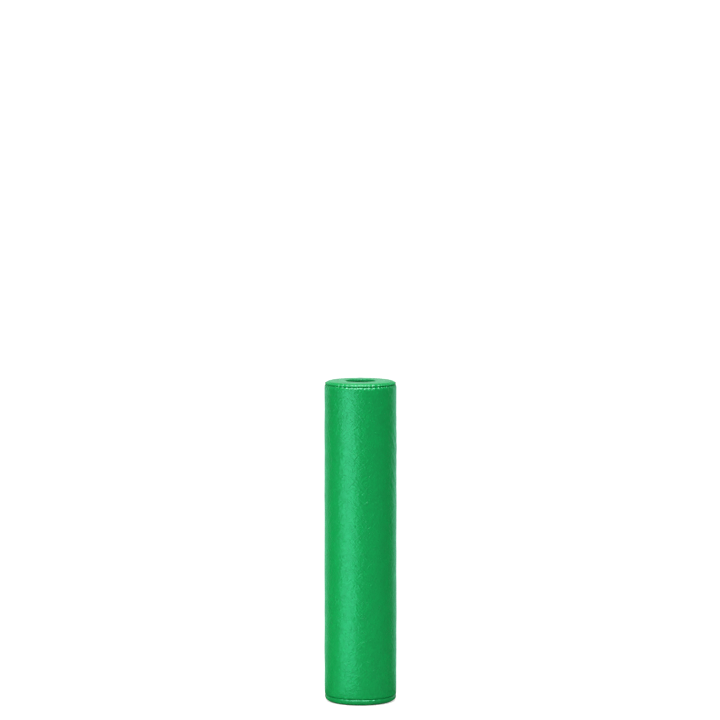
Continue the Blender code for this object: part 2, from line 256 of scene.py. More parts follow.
# Sizes that the cover's panels share. A place in a section is its distance from the axis and its height.
pad = {
    "radius": 0.2035,       # outer face of the side panel
    "height": 1.8310,
    "bore": 0.08605,        # inner face of the end caps' lips
    "core": 0.145,          # middle of the foam ring
    "shoulder": 0.0291,
    "rim": 0.0041,
    "lip": 0.012,
    "vinyl": 0.0008,
    "landDepth": 0.0072,    # how far the back is pressed flat
    "landFrom": 0.1741,
    "columns": 320,
}
seam = {
    "topAngle": radians(24.5),
    "lowHeight": 0.0373,
    "roll": 0.0030,
    "gap": 0.00015,
    "tab": 0.0040,
    "pinch": (0.0064, 0.0056),          # how far the thread draws the bottom and top seams in
    "pinchBelow": (0.0105, 0.0135),
    "pinchAbove": (0.0038, 0.0060),
    "pinchDepth": 0.014,                # how far in from a seam's middle the panels are drawn
    "shapeBelow": ((1.0, 1.3), (2.0, 2.0)),     # straight below the bottom seam and round elsewhere
}
# The ring opens at the slit and bends at the front, between the two reaches.
fold = {"reach": 0.045, "slit": 0.00005}

shoulderHigh = (pad["radius"] - pad["shoulder"], pad["height"] - pad["shoulder"])
shoulderLow = (shoulderHigh[0], pad["shoulder"])
rimHigh = (pad["bore"] + pad["rim"], pad["height"] - pad["rim"])
rimLow = (rimHigh[0], pad["rim"])
seamLean = asin((seam["roll"] + seam["gap"]) / (pad["shoulder"] - seam["roll"]))
seamPlaces = ((pad["radius"], seam["lowHeight"]),
              (shoulderHigh[0] + pad["shoulder"] * cos(seam["topAngle"]),
               shoulderHigh[1] + pad["shoulder"] * sin(seam["topAngle"])))
seamLeans = (0.0, seam["topAngle"])


def smoothStep(low, high, value):
    share = min(max((value - low) / (high - low), 0.0), 1.0)
    return share * share * (3 - 2 * share)


def hump(low, rise, fall, high, value):
    return smoothStep(low, rise, value) * (1 - smoothStep(fall, high, value))


def noiseAt(x, y, z):
    return noise.noise(Vector((x, y, z)))


def atAngle(centre, radius, angle):
    return centre[0] + radius * cos(angle), centre[1] + radius * sin(angle)


def outFrom(place):
    return Vector((place.x, place.y, 0.0)).normalized()


def turnOf(place):
    # round the axis from the front
    return atan2(place.x, -place.y)


class Section:
    # A line of edges in the XZ plane, drawn on from its tip. "run" keeps the length drawn so far, and the second layer
    # is set to 1 on the edges that are turned into a seam, where the vinyl is darkened with painted shade.
    def __init__(self, place):
        self.form = bmesh.new()
        for name in ("run", "tuck"):
            self.form.verts.layers.float.new(name)
        self.tip = self.form.verts.new((place[0], 0.0, place[1]))

    def goOn(self, new, length):
        run = self.form.verts.layers.float["run"]
        new[run] = self.tip[run] + length
        self.tip = new

    def line(self, place, steps=1):
        step = (Vector((place[0], 0.0, place[1])) - self.tip.co) / steps
        for _ in range(steps):
            new = bmesh.ops.extrude_vert_indiv(self.form, verts=[self.tip])["verts"][0]
            bmesh.ops.translate(self.form, verts=[new], vec=step)
            self.goOn(new, step.length)

    def slant(self, length, angle, steps=1):
        self.line(atAngle((self.tip.co.x, self.tip.co.z), length, angle), steps)

    def arc(self, centre, turn, steps):
        middle = Vector((centre[0], 0.0, centre[1]))
        stride = (self.tip.co - middle).length * abs(turn) / steps
        for _ in range(steps):
            made = bmesh.ops.spin(self.form, geom=[self.tip], cent=middle, axis=(0, -1, 0), angle=turn / steps, steps=1)
            self.goOn(next(v for v in made["geom_last"] if isinstance(v, bmesh.types.BMVert)), stride)

    def tuckFrom(self, first, last=None):
        # marks the vertices drawn from one number to another, where the vinyl gets painted shade
        tuck = self.form.verts.layers.float["tuck"]
        self.form.verts.ensure_lookup_table()
        for vertex in self.form.verts[first:last]:
            vertex[tuck] = 1.0


def pinchSeams(form, more):
    # done on the section, before it is turned
    for middle, angle, pinch, below, above, shape in zip(
            seamPlaces, seamLeans, seam["pinch"], seam["pinchBelow"], seam["pinchAbove"], seam["shapeBelow"]):
        inward = Vector((-cos(angle), -sin(angle)))
        for vertex in form.verts:
            offset = Vector((vertex.co.x - middle[0], vertex.co.z - middle[1]))
            away = offset.x * inward.y - offset.y * inward.x
            away, (inner, outer) = (away / above, (2.0, 2.0)) if away > 0 else (-away / below, shape)
            if away < 1 and offset.dot(inward) < seam["pinchDepth"]:
                draw = inward * (pinch + more) * (1 - away ** inner) ** outer
                vertex.co += Vector((draw.x, 0.0, draw.y))


def pressBack(form):
    # the outer wall is flat across the back, where the flap lies
    for vertex in form.verts:
        radius = hypot(vertex.co.x, vertex.co.y)
        if radius > pad["landFrom"]:
            vertex.co.y = min(vertex.co.y, radius - pad["landDepth"])


def linked(elements, kind):
    # their edges, verts or faces, each of them once and in the same order in every run
    return list(dict.fromkeys(other for element in elements for other in getattr(element, kind)))


def faceAlong(form, lean):
    # normals point so that the faces' leans add up to more than nothing
    bmesh.ops.recalc_face_normals(form, faces=form.faces)
    if sum(lean(face) * face.calc_area() for face in form.faces) < 0:
        bmesh.ops.reverse_faces(form, faces=form.faces)
    return form


def leanOut(face):
    # away from the middle of the foam
    centre = face.calc_center_median()
    return face.normal.dot(centre - outFrom(centre) * pad["core"] - Vector((0.0, 0.0, pad["height"] / 2)))


def layMap(form, uvAt):
    # every panel's own map, in metres
    panelMap = form.loops.layers.uv.new("panel")
    for face in form.faces:
        for loop in face.loops:
            loop[panelMap].uv = uvAt(loop.vert, face)


def turnRing(form, columns, mapRadius=None, mapFrom=0.0, pinched=None):
    # mapRadius unrolls the panel as a wall; otherwise it is laid out flat round the axis
    if pinched is not None:
        pinchSeams(form, pinched)
    bmesh.ops.spin(form, geom=form.verts[:] + form.edges[:], cent=(0, 0, 0), axis=(0, 0, 1), angle=2 * pi,
                   steps=columns, use_merge=True)
    run = form.verts.layers.float["run"]

    def uvAt(vertex, face):
        place = vertex.co
        if mapRadius:
            side = 1 if face.calc_center_median().x > 0 else -1
            return atan2(abs(place.x), -place.y) * side * mapRadius, vertex[run]
        return Vector((place.x, place.y)).normalized() * (vertex[run] + mapFrom)

    layMap(form, uvAt)
    pressBack(form)
    return faceAlong(form, leanOut)


def giveThickness(piece, thickness, rounding=0.0):
    wall = piece.modifiers.new("thickness", "SOLIDIFY")
    wall.thickness = thickness
    wall.offset = -1.0
    if rounding:
        edge = piece.modifiers.new("rounding", "BEVEL")
        edge.width = rounding
        edge.segments = 2
        edge.limit_method = "ANGLE"
        edge.angle_limit = radians(50)
    return piece


# Finishes. Patterns follow each panel's own map, which is in metres.

vinylLook = {
    "base": (0.0010, 0.392, 0.071, 1.0),
    "deep": (0.0008, 0.356, 0.064, 1.0),
    "grime": (0.0010, 0.095, 0.020, 1.0),   # painted shade in the seams' valleys and on the underside near the floor
    "tint": (0.26, 0.88, 0.82, 1.0),
    "specular": 1.0,
    "ior": 1.54,
    "roughness": (0.28, 0.33),
    "grainSize": 0.0012,
    "grainDepth": 0.00003,
    "creaseSize": 0.009,
    "creaseDepth": 0.00085,
    "creaseTurns": (0.80, -0.85),
    "creaseStretch": 3.2,
    "waveSize": 0.075,
    "waveDepth": 0.0010,
    "cloudSize": 0.06,
    "tuckedRoughness": 0.75,
}


def startMaterial(name, **values):
    material = bpy.data.materials.new(name)
    tree = Tree(material)
    tree.paint(**values)
    return material, tree


def makeVinyl(name, look):
    material, tree = startMaterial(name, Specular_IOR_Level=look["specular"], Specular_Tint=look["tint"],
                                   IOR=look["ior"])
    panel = tree.panel()
    cells = tree.add("TexVoronoi", {"Vector": panel, "Scale": 1.0 / look["grainSize"]}, voronoi_dimensions="2D")
    normal = tree.bump(tree.noise(panel, look["waveSize"], 1.0), look["waveDepth"])
    for turn in look["creaseTurns"]:
        # turned first and then drawn out along their own second axis
        sockets = {"Vector": panel, "Rotation": (0.0, 0.0, turn), "Scale": (1.0, look["creaseStretch"], 1.0)}
        slanting = tree.add("Mapping", sockets, vector_type="TEXTURE").outputs["Vector"]
        creases = tree.range(tree.noise(slanting, look["creaseSize"], 1.0, 0.3), 0.42, 0.72, kind="SMOOTHSTEP")
        normal = tree.bump(creases, look["creaseDepth"], Normal=normal)
    cloudy = tree.noise(panel, look["cloudSize"], 4.0)
    clean = tree.mix(tree.range(cloudy, 0.35, 0.7), look["base"], look["deep"])
    # painted shade: the colour turns to the shade colour where the layer marks the seams' valleys and the underside
    # near the floor
    shadeMask = tree.add("Attribute", attribute_name="tuck").outputs["Fac"]
    shine = tree.range(cloudy, 0.3, 0.7, *look["roughness"])
    dull = tree.math("MULTIPLY", shadeMask, look["tuckedRoughness"])
    tree.paint(Base_Color=tree.mix(shadeMask, clean, look["grime"]), Roughness=tree.math("MAXIMUM", shine, dull),
               Normal=tree.bump(cells.outputs["Distance"], look["grainDepth"], Normal=normal))
    return material


vinyl = makeVinyl("greenVinyl", vinylLook)
# The end caps are drawn flat over the foam.
capVinyl = makeVinyl("capVinyl", {**vinylLook, "creaseDepth": 0.00022, "waveDepth": 0.0007, "roughness": (0.33, 0.38)})
boreVinyl = makeVinyl("boreVinyl", {**vinylLook, "base": (0.003, 0.225, 0.052, 1.0),
                                    "deep": (0.002, 0.185, 0.043, 1.0), "specular": 0.5, "roughness": (0.45, 0.55)})
print("pad: finishes made")

# Each panel of the cover is cut wider than the foam. A drawstring, the shape key "drawn", pulls it in to its
# true size while it settles as cloth over the foam's pressure, and the spare width gathers at the seams.
gather = {
    "frames": 20,
    "drawnAt": 14,
    "seed": 0.0003,         # unevenness of the start
    "seedSize": (12.3, 8),
    "inward": 0.0028,       # the most that a point may move
    "outward": 0.0028,
    "sideways": 0.0020,
    "share": 0.45,          # of the movement that is kept
    "cloth": {
        "quality": 5, "mass": 0.05, "air_damping": 1.0,
        "tension_stiffness": 40.0, "compression_stiffness": 40.0, "shear_stiffness": 40.0 / 3,
        "bending_stiffness": 2.0, "bending_damping": 0.5,
        "tension_damping": 5.0, "compression_damping": 5.0, "shear_damping": 5.0,
        "use_pressure": True, "uniform_pressure_force": 3.0,
        "vertex_group_mass": "held", "pin_stiffness": 1.0,
    },
}


def gatherPanel(form, extraAt, isHeld, shareAt):
    form.normal_update()
    drawn = [(vertex.co.copy(), vertex.normal.copy()) for vertex in form.verts]
    mesh = bpy.data.meshes.new("gathering")
    form.to_mesh(mesh)
    across, up = gather["seedSize"]
    for vertex, (place, _) in zip(mesh.vertices, drawn):
        out = outFrom(place)
        wave = noiseAt(out.x * across, out.y * across, place.z * up)
        vertex.co += Vector((place.x, place.y, 0.0)) * extraAt(place) + out * wave * gather["seed"]
    panel = bpy.data.objects.new("gathering", mesh)
    scene.collection.objects.link(panel)
    panel.shape_key_add(name="cut")
    pull = panel.shape_key_add(name="drawn")
    for point, (place, _) in zip(pull.data, drawn):
        point.co = place
    for value, frameNumber in ((0.0, 1), (1.0, gather["drawnAt"])):
        pull.value = value
        pull.keyframe_insert("value", frame=frameNumber)
    held = panel.vertex_groups.new(name="held")
    held.add([index for index, (place, _) in enumerate(drawn) if isHeld(place)], 1.0, "REPLACE")
    cloth = panel.modifiers.new("settling", "CLOTH")
    for name, value in gather["cloth"].items():
        setattr(cloth.settings, name, value)
    cloth.settings.effector_weights.gravity = 0.0
    cloth.collision_settings.use_collision = False
    cloth.point_cache.frame_start, cloth.point_cache.frame_end = 1, gather["frames"]
    for frameNumber in range(1, gather["frames"] + 1):
        scene.frame_set(frameNumber)
    settled = panel.evaluated_get(bpy.context.evaluated_depsgraph_get()).to_mesh()
    for vertex, point, (place, normal) in zip(form.verts, settled.vertices, drawn):
        move = point.co - place
        depth = move.dot(normal)
        along = move - normal * depth
        along *= min(1.0, gather["sideways"] / max(along.length, 1e-9))
        depth = min(max(depth, -gather["inward"]), gather["outward"])
        vertex.co = place + (normal * depth + along) * shareAt(place) * gather["share"]
    action = mesh.shape_keys.animation_data.action
    bpy.data.objects.remove(panel)
    bpy.data.meshes.remove(mesh)
    bpy.data.actions.remove(action)
    scene.frame_set(1)


def besideSlit(place, near, far):
    # 0 beside the slit and 1 away from it
    return 1.0 if place.y < 0 else smoothStep(near, far, abs(place.x))


def besideFlap(place):
    return besideSlit(place, *sidePanel["besideFlap"])


def besideLips(place):
    return besideSlit(place, *caps["besideSlit"])


def sectionPlace(place):
    # distance from the axis as it was before the back was pressed, and height
    radius = hypot(place.x, place.y)
    if place.y > 0 and radius > pad["landFrom"] - pad["landDepth"]:
        radius = max(radius, min(place.y + pad["landDepth"], pad["radius"] + 0.003))
    return radius, place.z


# Relief that the settling leaves out: the ripples that run out of a seam, the wall's soft swells, the slanting
# creases of its upper right side, and the vents' seats.
relief = {
    "spacing": 0.022,
    "depth": (0.0009, 0.0016),      # of the ripples at the bottom and top seams
    "most": 1.5,                    # times their depth
    "rise": (0.0006, 0.0045),
    "fade": 0.012,
    "pucker": (0.0006, 0.0014),     # how unevenly the thread draws the bottom and top seams in
    "puckerReach": 0.0065,
    "slack": (0.0, 0.0018),         # how much less it draws them in beside the front
    "slackTurn": (0.42, 0.75),
    "stout": 0.0012,                # wider towards the bottom
    "stoutTo": (0.1, 1.3),
    "swell": 0.0011,
    "swellSize": 0.125,
    "creaseDepth": 0.0009,
    "creaseSpacing": 0.046,
    "creaseAcross": (0.834, 0.552),
    "creaseTurn": (0.80, 1.15, 1.60, 1.90),
    "creaseRise": (1.08, 1.30, 1.56, 1.72),
    "plainEnds": (0.03, 0.12, 1.72, 1.80),
}
vents = {
    "turn": radians(33.75),
    "distance": 0.20386,
    "heights": (0.1511, 1.6799),
    "reach": (0.0115, 0.026),
    "hole": 0.0062,
}


def seamsNear(place, reach):
    # each end seam within reach, the distance up from it, the arc from the front and how its thread wanders there
    radius, height = sectionPlace(place)
    arc = turnOf(place) * pad["radius"]
    for level, (middle, lean) in enumerate(zip(seamPlaces, seamLeans)):
        if abs(height - middle[1]) < reach:
            away = (height - middle[1]) * cos(lean) - (radius - middle[0]) * sin(lean)
            yield level, away, arc, noiseAt(arc * 11, level * 5.0, 0.0)


def rippleHeight(place, seed):
    raised = 0.0
    for level, away, arc, wander in seamsNear(place, 0.06):
        away = abs(away)
        if away < 0.05:
            wander += 0.35 * noiseAt(arc * 40, seed, 3.0)
            tall = max(0.75 + 0.9 * noiseAt(arc * 21, level * 5.0 + 9.0, seed), 0.15)
            ripple = relief["depth"][level] * tall * cos(2 * pi * (arc / relief["spacing"] + 1.2 * wander))
            raised += ripple * smoothStep(*relief["rise"], away) * exp(-away / relief["fade"]) * relief["most"]
    return raised


def puckerSeams(form):
    for vertex in form.verts:
        for level, away, arc, wander in seamsNear(vertex.co.copy(), 0.03):
            raised = 0.6 * cos(2 * pi * (arc / relief["spacing"] + 1.2 * wander))
            raised = relief["pucker"][level] * (raised + 0.9 * noiseAt(arc * 60, level * 5.0, 4.0))
            raised += relief["slack"][level] * smoothStep(*relief["slackTurn"], abs(turnOf(vertex.co)))
            raised *= exp(-(away / relief["puckerReach"]) ** 2) * besideFlap(vertex.co)
            out = outFrom(vertex.co) * cos(seamLeans[level])
            vertex.co += raised * (out + Vector((0.0, 0.0, sin(seamLeans[level]))))


def wallHeight(place):
    turn = turnOf(place)
    swell = noise.noise(place / relief["swellSize"])
    swell += 0.4 * noise.noise(place * Vector((2.1, 2.1, 1.3)) / relief["swellSize"])
    across = turn * pad["radius"] * relief["creaseAcross"][0] + place.z * relief["creaseAcross"][1]
    crease = cos(2 * pi * (across + 0.012 * noise.noise(place * 9)) / relief["creaseSpacing"])
    share = hump(*relief["creaseTurn"], turn) * hump(*relief["creaseRise"], place.z)
    share *= max(0.0, 0.8 + noise.noise(place * 7 + Vector((3.0, 0.0, 0.0))))
    stout = relief["stout"] * (1 - smoothStep(*relief["stoutTo"], place.z))
    soft = (relief["swell"] * swell + stout) * hump(*relief["plainEnds"], place.z)
    return soft + relief["creaseDepth"] * crease * share


def addRelief(form, heightAt):
    form.normal_update()
    moves = [vertex.normal * heightAt(vertex.co) for vertex in form.verts]
    for vertex, move in zip(form.verts, moves):
        vertex.co += move


def seatVents(form):
    for side in (-1, 1):
        out = Vector((side * sin(vents["turn"]), cos(vents["turn"]), 0.0))
        for height in vents["heights"]:
            centre = out * vents["distance"] + Vector((0.0, 0.0, height))
            near = [f for f in form.faces if (f.calc_center_median() - centre).length < vents["reach"][1]]
            bmesh.ops.subdivide_edges(form, edges=linked(near, "edges"), cuts=1, use_grid_fill=True)
            for vertex in form.verts:
                offset = vertex.co - centre
                level = offset.dot(out)
                away = (offset - out * level).length
                if offset.length < 0.04:
                    vertex.co -= out * level * (1 - smoothStep(*vents["reach"], away))
            gone = [f for f in form.faces if (f.calc_center_median() - centre).length < vents["hole"]]
            bmesh.ops.delete(form, geom=gone, context="FACES")


# The side panel is one sheet, from the bottom seam to the seam on the top shoulder.
sidePanel = {
    "fineLow": (0.024, 0.130),      # finely divided wall above the bottom seam, in two parts
    "fineHigh": (0.150, 0.020),
    "rows": (10, 28, 18, 34, 8),
    "middleCuts": 7,
    "ease": 0.006,
    "gather": (0.022, 0.030),       # extra width at the bottom and top seams
    "gatherReach": (0.022, 0.030),
    "heldLow": 0.0028,
    "heldHigh": (0.0105, 0.0065),   # how far in from the wall and down from the roll
    "besideFlap": (0.060, 0.085),
}
caps = {
    "ease": 0.003,
    "gather": 0.026,
    "gatherReach": 0.028,
    "besideSlit": (0.006, 0.020),
    "flatShare": 0.35,      # of the settling that the flat top keeps
    "lifted": (-0.020, 0.006),
    "heldDepth": 0.0068,
    "heldBelow": 0.004,
    "soiled": (0.55, 0.002, 0.017),     # how dark the painted shade on the underside near the floor is, and the heights where it fades out
    "creases": ((17, 6, -0.0008), (33, 7, 0.0006), (52, 8, -0.0006)),
}


def sidePanelForm():
    high, low = shoulderHigh[1], seam["lowHeight"] + seam["gap"] + seam["roll"]
    inner = pad["radius"] - seam["roll"]
    section = Section((inner - seam["tab"], low - seam["roll"]))
    section.line((inner, low - seam["roll"]))
    section.arc((inner, low), pi / 2, 5)
    section.tuckFrom(0, -3)
    heights = (low + sidePanel["fineLow"][0], low + sum(sidePanel["fineLow"]),
               high - sum(sidePanel["fineHigh"]), high - sidePanel["fineHigh"][1], high)
    for height, rows in zip(heights, sidePanel["rows"]):
        section.line((pad["radius"], height), rows)
    start = seam["topAngle"] - seamLean
    section.arc(shoulderHigh, start, 6)
    rollCentre = atAngle(shoulderHigh, pad["shoulder"] - seam["roll"], start)
    section.arc(rollCentre, seam["topAngle"] + pi / 2 - start, 5)
    section.slant(-seam["tab"], seam["topAngle"])
    section.tuckFrom(-3)
    form = turnRing(section.form, pad["columns"], mapRadius=pad["radius"], pinched=0.0)
    lowest, highest = low - seam["roll"], atAngle(rollCentre, seam["roll"], seam["topAngle"] + pi / 2)[1]

    def extraAt(place):
        extra = sidePanel["ease"]
        for away, share, reach in zip((place.z - lowest, highest - place.z), sidePanel["gather"],
                                      sidePanel["gatherReach"]):
            extra += share * max(0.0, 1 - away / reach) ** 2
        return extra

    def isHeld(place):
        radius, height = sectionPlace(place)
        inset, down = sidePanel["heldHigh"]
        return height < low - sidePanel["heldLow"] or (height > highest - down and radius < pad["radius"] - inset)

    gatherPanel(form, extraAt, isHeld, besideFlap)
    tall = [e for e in form.edges if abs(e.verts[0].co.z - e.verts[1].co.z) > 0.05]
    bmesh.ops.subdivide_edges(form, edges=tall, cuts=sidePanel["middleCuts"], use_grid_fill=True)
    puckerSeams(form)
    addRelief(form, lambda place: (rippleHeight(place, 0.0) + wallHeight(place)) * besideFlap(place))
    seatVents(form)
    return form


def topCapForm():
    section = Section((pad["bore"], rimHigh[1] - pad["lip"]))
    section.line((pad["bore"], rimHigh[1]), 3)
    section.arc(rimHigh, -pi / 2, 4)
    section.line((shoulderHigh[0], pad["height"]), 17)
    end = seam["topAngle"] + seamLean
    section.arc(shoulderHigh, end - pi / 2, 12)
    rollCentre = atAngle(shoulderHigh, pad["shoulder"] - seam["roll"], end)
    section.arc(rollCentre, seam["topAngle"] - pi / 2 - end, 5)
    section.slant(-seam["tab"], seam["topAngle"])
    section.tuckFrom(-3)
    form = turnRing(section.form, pad["columns"], mapFrom=pad["bore"] - pad["lip"], pinched=0.0)

    def extraAt(place):
        radius, height = sectionPlace(place)
        angle = atan2(height - shoulderHigh[1], max(radius - shoulderHigh[0], 1e-6))
        away = (angle - seam["topAngle"]) * pad["shoulder"] + max(shoulderHigh[0] - radius, 0.0)
        inner = smoothStep(0.0, 0.03, radius - rimHigh[0])
        return caps["ease"] * inner + caps["gather"] * max(0.0, 1 - max(away, 0.0) / caps["gatherReach"]) ** 2

    def isHeld(place):
        radius, height = sectionPlace(place)
        out = Vector((radius - shoulderHigh[0], height - shoulderHigh[1])).length
        shadeMask = out < pad["shoulder"] - caps["heldDepth"] and radius > shoulderHigh[0]
        return radius < rimHigh[0] + 0.0005 or shadeMask

    def shareAt(place):
        # the foam holds the flat top, which lifts only a little
        lifted = smoothStep(*caps["lifted"], sectionPlace(place)[0] - shoulderHigh[0])
        return besideLips(place) * (caps["flatShare"] + (1 - caps["flatShare"]) * lifted)

    gatherPanel(form, extraAt, isHeld, shareAt)
    puckerSeams(form)
    addRelief(form, lambda place: rippleHeight(place, 2.0) * besideLips(place))
    return form


def bottomCapForm():
    section = Section((pad["bore"], rimLow[1] + pad["lip"]))
    section.line((pad["bore"], rimLow[1]), 3)
    section.arc(rimLow, pi / 2, 4)
    section.line((shoulderLow[0], 0.0), 12)
    section.arc(shoulderLow, pi / 2, 28)
    wallTop = seam["lowHeight"] - seam["gap"] - seam["roll"]
    section.line((pad["radius"], wallTop), 2)
    section.arc((pad["radius"] - seam["roll"], wallTop), pi / 2, 5)
    section.line((pad["radius"] - seam["roll"] - seam["tab"], section.tip.co.z))
    section.tuckFrom(-2)
    # painted shade: the underside darkens towards the floor, standing in for the floor's contact shadow
    tuck = section.form.verts.layers.float["tuck"]
    for vertex in section.form.verts:
        vertex[tuck] = max(vertex[tuck], caps["soiled"][0] * (1 - smoothStep(*caps["soiled"][1:], vertex.co.z)))
    form = turnRing(section.form, pad["columns"], mapFrom=pad["bore"] - pad["lip"], pinched=0.0)

    def extraAt(place):
        return caps["gather"] * max(0.0, 1 - max(seam["lowHeight"] - place.z, 0.0) / caps["gatherReach"]) ** 2

    def isHeld(place):
        radius, height = sectionPlace(place)
        return radius < shoulderLow[0] + caps["heldBelow"] or height > wallTop + sidePanel["heldLow"]

    def creaseHeight(place):
        # long flat creases follow the rounding
        radius, height = sectionPlace(place)
        down = degrees(atan2(shoulderLow[1] - height, max(radius - shoulderLow[0], 1e-6)))
        turn = turnOf(place)
        raised = 0.0
        for number, (angle, width, depth) in enumerate(caps["creases"]):
            middle = angle + 4 * noiseAt(turn * 2.2, number * 3.0, 1.0)
            tall = max(0.2, 0.8 + 1.1 * noiseAt(turn * 3.1, number * 3.0, 7.0))
            raised += depth * tall * exp(-((down - middle) / width) ** 2)
        return raised

    gatherPanel(form, extraAt, isHeld, besideLips)
    puckerSeams(form)
    addRelief(form, lambda place: (rippleHeight(place, 4.0) + creaseHeight(place)) * besideLips(place))
    for vertex in form.verts:
        vertex.co.z = max(vertex.co.z, 0.0)
    return form


# Dividing a ring: the wrap goes round the front, and the two strips beside the slit keep to their own halves.

def stripOf(face, slit):
    centre = face.calc_center_median()
    if centre.y < 0 or abs(centre.x) > fold["reach"]:
        return ""
    return "gone" if abs(centre.x) < slit else "BackLeft" if centre.x < 0 else "BackRight"


def dividedRing(piece, slit=fold["slit"], filled=False):
    names = (piece.name, piece.name + "BackLeft", piece.name + "BackRight")
    form = bmesh.new()
    form.from_mesh(piece.data)
    for place in (-fold["reach"], -slit, slit, fold["reach"]):
        back = [f for f in form.faces if f.calc_center_median().y > 0]
        bmesh.ops.bisect_plane(form, geom=back + linked(back, "edges") + linked(back, "verts"), dist=0.000001,
                               plane_co=(place, 0.0, 0.0), plane_no=(1.0, 0.0, 0.0))
    whole = bpy.data.meshes.new("whole")
    form.to_mesh(whole)
    form.free()
    parts = []
    for name in names:
        form = bmesh.new()
        form.from_mesh(whole)
        unwanted = [face for face in form.faces if piece.name + stripOf(face, slit) != name]
        bmesh.ops.delete(form, geom=unwanted, context="FACES")
        if filled:
            bmesh.ops.holes_fill(form, edges=[e for e in form.edges if e.is_boundary], sides=0)
            bmesh.ops.recalc_face_normals(form, faces=form.faces)
        parts.append(makePiece(name + "Part", form, piece.data.materials[0]))
    bpy.data.meshes.remove(whole)
    bpy.data.objects.remove(piece)
    for part, name in zip(parts, names):
        part.name = part.data.name = name
    return parts


def seatRing(parts, nodes=None):
    wrap, backLeft, backRight = parts
    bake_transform(wrap, "left_half", "right_half", start=(-fold["reach"], 0.0, 0.0), end=(fold["reach"], 0.0, 0.0))
    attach(backLeft, "left_half")
    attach(backRight, "right_half")
    if nodes:
        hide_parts(nodes + "_left", nodes + "_right")
        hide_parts(nodes + "_left")
        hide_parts(nodes + "_right")


for name, make, nodes, finish in (("sidePanel", sidePanelForm, "cover", vinyl),
                                  ("topCap", topCapForm, "top_cap", capVinyl),
                                  ("bottomCap", bottomCapForm, "bottom_cap", capVinyl)):
    parts = dividedRing(makePiece(name, make(), finish))
    for part in parts:
        giveThickness(part, pad["vinyl"])
    seatRing(parts, nodes)
    print("pad:", name, "made")

# The foam ring fills the cover, with a groove behind each seam.
core = {
    "depth": 0.0060,        # below the cover's outer face
    "bore": 0.0885,
    "rim": 0.003,
    "groove": 0.0051,
    "grooveWidth": 0.0034,
    "slit": 0.00125,
    "clear": 0.0020,        # further in than the cover at the seams
    "columns": 160,
    "fresh": (0.672, 0.63, 0.51, 1.0),
    "aged": (0.60, 0.54, 0.40, 1.0),
    "pore": (0.42, 0.37, 0.26, 1.0),
    "poreScale": 650.0,
    "poreDepth": 0.0006,
    "cloudSize": 0.05,
}


def foamForm():
    top, wall = pad["height"] - core["depth"], pad["radius"] - core["depth"]
    curve = pad["shoulder"] - core["depth"]
    half, groove = core["grooveWidth"] / 2, wall - core["groove"]
    angle = seam["topAngle"]
    rim, rimLevel = core["bore"] + core["rim"], core["depth"] + core["rim"]
    section = Section((core["bore"], rimLevel))
    section.line((core["bore"], top - core["rim"]), 24)
    section.arc((rim, top - core["rim"]), -pi / 2, 3)
    section.line((shoulderHigh[0], top), 6)
    section.arc(shoulderHigh, angle + half / curve - pi / 2, 6)
    section.slant(-core["groove"], angle, 2)
    section.slant(core["grooveWidth"], angle - pi / 2)
    section.line(atAngle(shoulderHigh, curve, angle - half / curve), 2)
    section.arc(shoulderHigh, half / curve - angle, 3)
    for place, steps in (((wall, seam["lowHeight"] + half), 60), ((groove, seam["lowHeight"] + half), 2),
                         ((groove, seam["lowHeight"] - half), 1), ((wall, seam["lowHeight"] - half), 2),
                         ((wall, pad["shoulder"]), 1)):
        section.line(place, steps)
    section.arc(shoulderLow, -pi / 2, 8)
    section.line((rim, core["depth"]), 6)
    section.arc((rim, rimLevel), -pi / 2, 3)
    bmesh.ops.remove_doubles(section.form, verts=section.form.verts, dist=0.00002)
    return turnRing(section.form, core["columns"], mapRadius=wall, pinched=core["clear"])


def makeFoamLook():
    material, tree = startMaterial("creamFoam", Roughness=0.95, Specular_IOR_Level=0.15)
    place = tree.place()
    pores = tree.add("TexVoronoi", {"Vector": place, "Scale": core["poreScale"]}).outputs["Distance"]
    cloudy = tree.range(tree.noise(place, core["cloudSize"], 3.0), 0.3, 0.7)
    # painted shade: the foam is darker in the pores' hollows, where the bump is lowest
    tone = tree.mix(tree.range(pores, 0.15, 0.45), core["pore"], tree.mix(cloudy, core["fresh"], core["aged"]))
    tree.paint(Base_Color=tone, Normal=tree.bump(pores, core["poreDepth"]))
    return material


creamFoam = makeFoamLook()
parts = dividedRing(makePiece("foamRing", foamForm(), creamFoam), core["slit"], filled=True)
seatRing(parts, "foam_core")
print("pad: foam ring made")

# The bore liner runs behind the end caps' lips.
liner = {
    "radius": 0.0870,
    "low": 0.0105,
    "high": 1.8205,
    "rows": 150,
    "columns": 128,
    "slack": 0.0005,        # how far it stands off towards the foam
}


def linerForm():
    section = Section((liner["radius"], liner["low"]))
    section.line((liner["radius"], liner["high"]), liner["rows"])
    form = turnRing(section.form, liner["columns"], mapRadius=liner["radius"])
    for vertex in form.verts:
        loose = 0.5 + 0.5 * noise.noise(vertex.co * Vector((22.0, 22.0, 5.0)))
        ends = smoothStep(0.0, 0.02, min(vertex.co.z - liner["low"], liner["high"] - vertex.co.z))
        vertex.co += outFrom(vertex.co) * liner["slack"] * min(max(loose, 0.0), 1.0) * ends
    return form


parts = dividedRing(makePiece("boreLiner", linerForm(), boreVinyl))
for part in parts:
    giveThickness(part, pad["vinyl"])
    strip = asin(fold["reach"] / liner["radius"]) * liner["radius"]
    width = strip if "Back" in part.name else 2 * (pi * liner["radius"] - strip)
seatRing(parts, "bore_liner")
print("pad: bore liner made")


